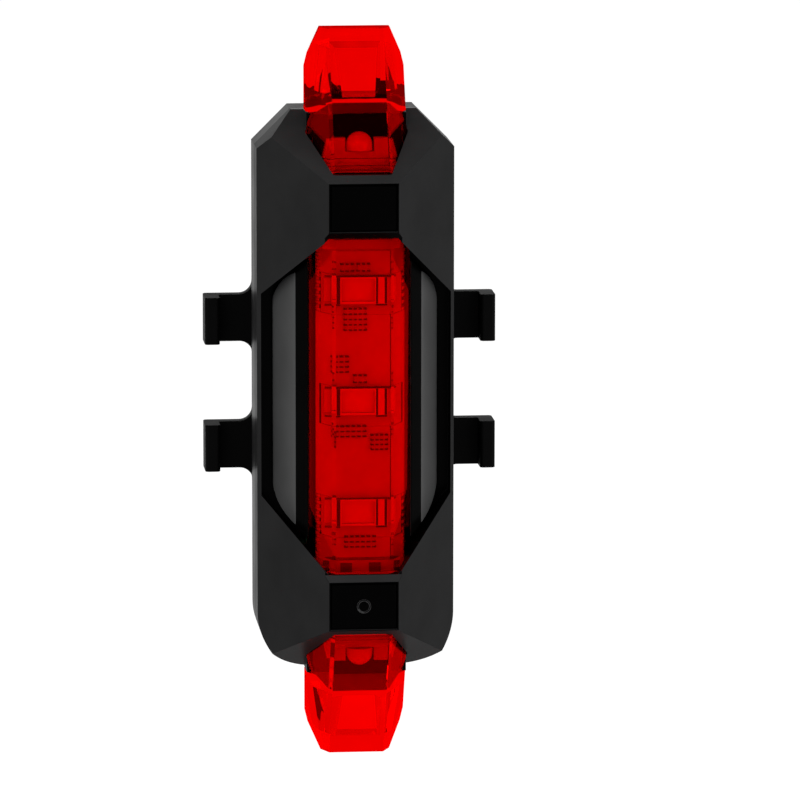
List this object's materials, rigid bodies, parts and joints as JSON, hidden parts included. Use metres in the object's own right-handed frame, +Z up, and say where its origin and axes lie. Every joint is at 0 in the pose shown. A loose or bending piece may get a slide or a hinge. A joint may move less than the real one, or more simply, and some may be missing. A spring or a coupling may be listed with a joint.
{
  "type": "bicycle tail light",
  "caption": "Rechargeable bicycle tail light: red arched lens under two bridges of a faceted black body, push button, covered charging socket, strap hooks and a rubber saddle for the seat post.",
  "frame": {"origin": "middle of the line where the seat post touches the saddle", "axes": "+Z up along the seat post and the lens, +Y forward into the seat post, so the light shines along -Y, +X to the right as seen from behind the bicycle"},
  "size_m": [0.0308, 0.0244, 0.0768],
  "materials": {
    "bezel": "fine satin moulded",
    "lens": "clear red moulded plastic",
    "gloss_trim": "polished black",
    "panel": "smooth black",
    "switch_body": "moulded",
    "switch_stud": "moulded",
    "board_white": "white solder mask",
    "led_package": "white moulded with a clear cup",
    "led_dome": "clear epoxy",
    "chip_black": "moulded epoxy",
    "cell_pouch": "laminated foil",
    "foam": "closed-cell foam",
    "wire_red": "insulated wire",
    "wire_black": "insulated wire",
    "board_green": "green solder mask",
    "socket_steel": "plated",
    "soft_rubber": "soft matte",
    "rear_shell": "fine satin moulded",
    "screw_steel": "zinc plated",
    "bracket": "moulded nylon",
    "saddle_rubber": "ribbed soft rubber"
  },
  "bodies": {
    "light": {"front_bezel": "bezel", "lens": "lens", "left_side_bar": "gloss_trim", "right_side_bar": "gloss_trim", "bridge_plate": "panel", "switch_base": "switch_body", "main_board": "board_white", "led_upper": "led_package", "led_middle": "led_package", "led_lower": "led_package", "end_led_top": "led_dome", "end_led_bottom": "led_dome", "small_chips": "chip_black", "control_chip": "chip_black", "battery_cell": "cell_pouch", "foam_front": "foam", "foam_rear": "foam", "battery_lead_red": "wire_red", "battery_lead_black": "wire_black", "charge_board": "board_green", "charge_chip": "chip_black", "charge_wires": "wire_black", "usb_shell": "socket_steel", "usb_tongue": "chip_black", "rear_housing": "rear_shell", "housing_seal": "soft_rubber", "housing_screws": "screw_steel", "strap_bracket": "bracket", "bracket_screws": "screw_steel", "saddle_pad": "saddle_rubber"},
    "button": {"power_button": "panel", "switch_plunger": "switch_stud"},
    "socket_cover": {"usb_cover": "soft_rubber"}
  },
  "joints": [
    {"name": "power_button_press", "type": "slide", "parent": "light", "child": "button", "axis": [0, 1, 0], "range_m": [0, 0.00045], "stiffness_N_per_m": 4000},
    {"name": "socket_cover_swing", "type": "hinge", "parent": "light", "child": "socket_cover", "pos_m": [0, -0.00323, -0.0253], "axis": [-1, 0, 0], "range_deg": [0, 100]}
  ]
}
